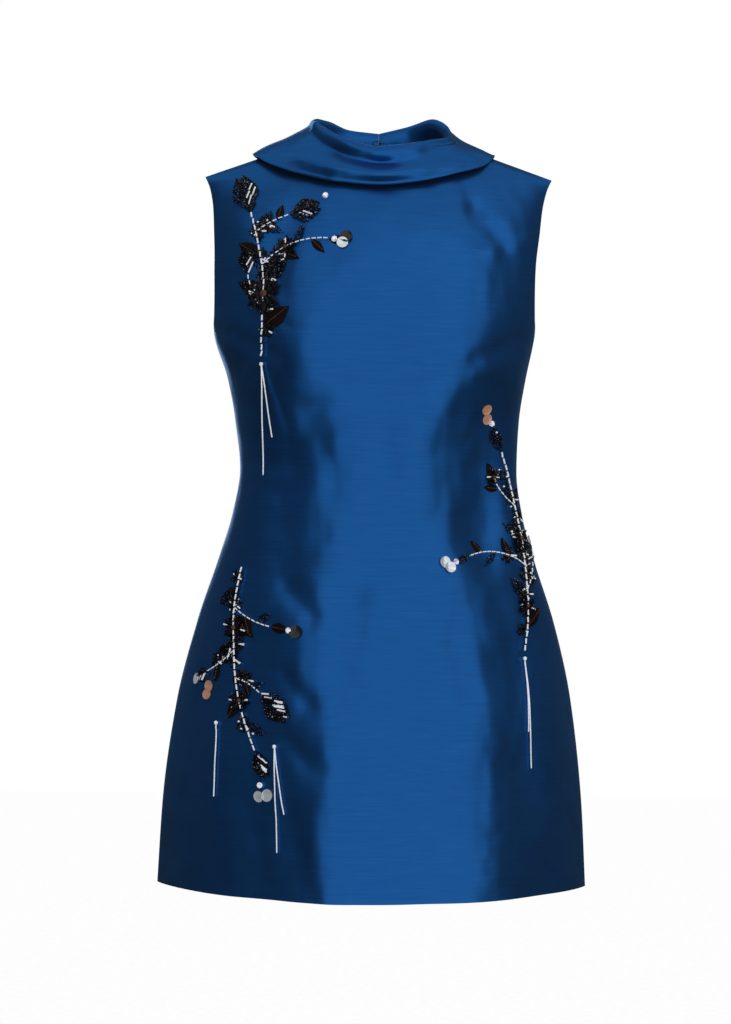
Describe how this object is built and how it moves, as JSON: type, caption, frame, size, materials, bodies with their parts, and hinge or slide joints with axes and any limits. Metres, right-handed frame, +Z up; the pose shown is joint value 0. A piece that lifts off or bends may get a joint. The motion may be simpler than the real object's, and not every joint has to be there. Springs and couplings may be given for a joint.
{
  "type": "mini dress",
  "caption": "Sleeveless satin mini dress, fitted at the waist and full over the hips, with a wide rolled collar, a back zip and beaded sprays. Rigid and hollow, as filled out in wear.",
  "frame": {"origin": "Midway between the neck ends of the two shoulder seams, at the height of those seams.", "axes": "+Z is up towards the collar, the front of the dress faces -Y, and the wearer's left is +X. The centre back zip lies in the plane X = 0 and the side seams in the plane Y = 0."},
  "size_m": [0.462, 0.3027, 0.8312],
  "materials": {
    "satin": "heavy duchess satin, blue, strong soft sheen",
    "tape": "woven zip tape, matt blue",
    "zip_metal": "enamelled to match the cloth",
    "hook_metal": "bright wire",
    "beadwork": "dark bugle and seed beads, silver-lined bugles, clear crystals and paillettes",
    "beads": "thin silver-lined bugle beads, threaded end to end"
  },
  "bodies": {
    "dress": {"front": "satin", "back_left": "satin", "back_right": "satin", "collar": "satin", "zip_tape_left": "tape", "zip_tape_right": "tape", "zip_slider": "zip_metal", "neck_hook": "hook_metal", "neck_eye": "hook_metal", "spray_shoulder": "beadwork", "spray_hip": "beadwork", "spray_waist": "beadwork", "drops_shoulder": "beads", "drop_hip_side": "beads", "drops_hip": "beads", "drops_waist": "beads"},
    "zip_tab": {"zip_pull": "zip_metal"}
  },
  "joints": [
    {"name": "zip_pull_swing", "type": "hinge", "parent": "dress", "child": "zip_tab", "pos_m": [0, 0.06646, -0.02279], "axis": [1, 0, 0], "range_deg": [0, 95]}
  ]
}
